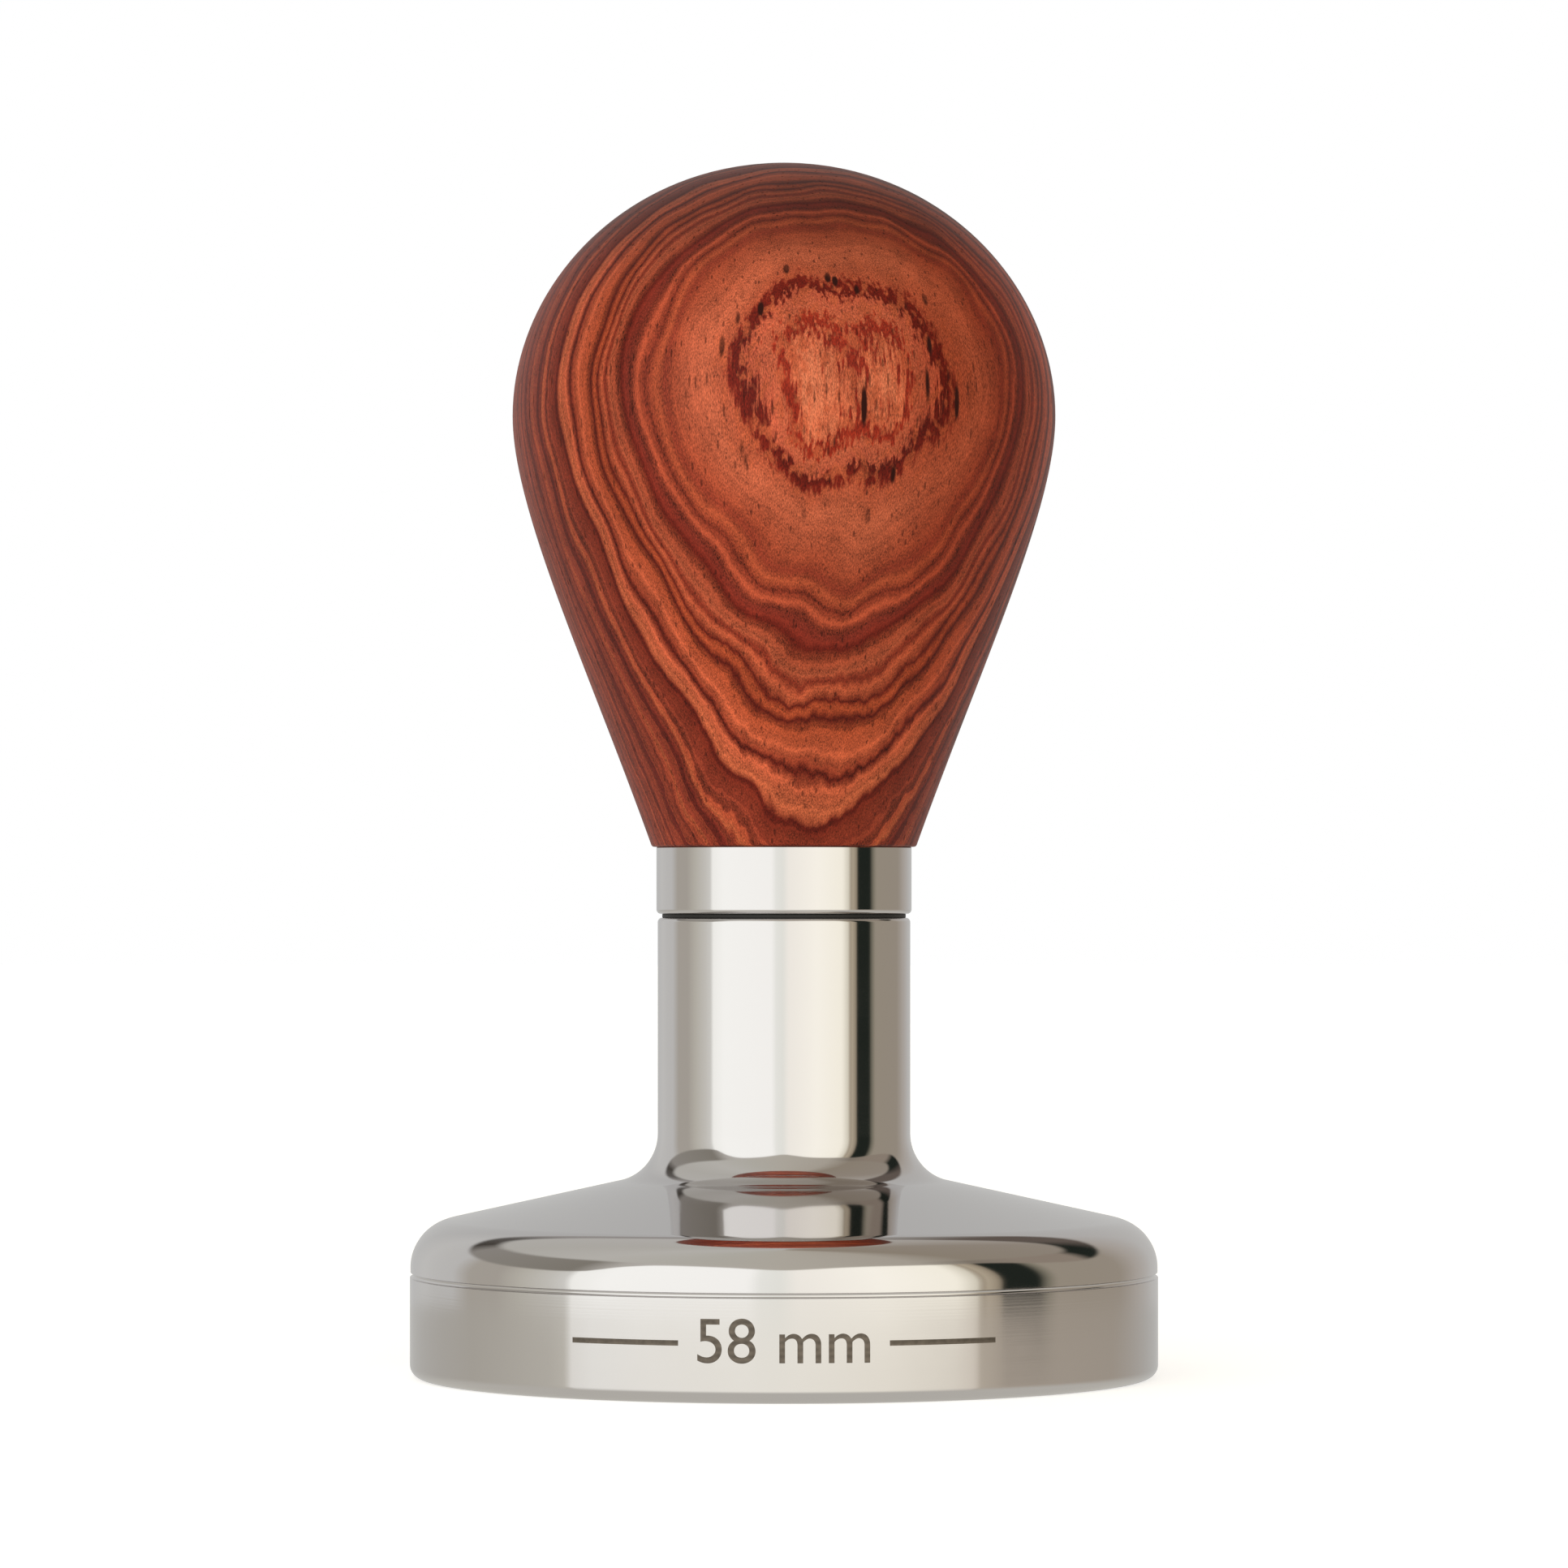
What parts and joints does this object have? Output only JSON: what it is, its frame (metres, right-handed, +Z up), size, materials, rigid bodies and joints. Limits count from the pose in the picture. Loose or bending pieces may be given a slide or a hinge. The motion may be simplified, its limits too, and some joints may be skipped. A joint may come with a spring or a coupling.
{
  "type": "espresso tamper",
  "caption": "Espresso tamper: solid polished steel piston and stem, steel ferrule and a pear-shaped hardwood grip that unscrews from a threaded stud.",
  "frame": {"origin": "centre of the tamping face, which the tamper stands on", "axes": "+Z up along the axis that every piece is turned about, from the tamping face to the crown of the grip; -Y is the front"},
  "size_m": [0.058, 0.058, 0.094],
  "materials": {
    "polished_steel": "mirror polished stainless steel",
    "bright_steel": "bright rolled thread, stainless steel",
    "black_nylon": "plain black sheet",
    "machined_brass": "machined",
    "turned_hardwood": "turned, sanded and satin oiled, red-brown with dark figure"
  },
  "bodies": {
    "base": {"tamper_base": "polished_steel", "stud": "bright_steel"},
    "seam": {"seam_washer": "black_nylon"},
    "handle": {"ferrule": "polished_steel", "threaded_insert": "machined_brass", "grip": "turned_hardwood"}
  },
  "joints": [
    {"name": "handle_unscrew", "type": "hinge", "parent": "base", "child": "seam", "pos_m": [0, 0, 0.0357], "axis": [0, 0, 1], "range_deg": [0, 2160.01]},
    {"name": "handle_lift", "type": "slide", "parent": "seam", "child": "handle", "axis": [0, 0, 1], "range_m": [0, 0.0075]}
  ],
  "couplings": [
    {"joint": "handle_unscrew", "follows": "handle_lift", "rad_per_m": 5026.5}
  ]
}
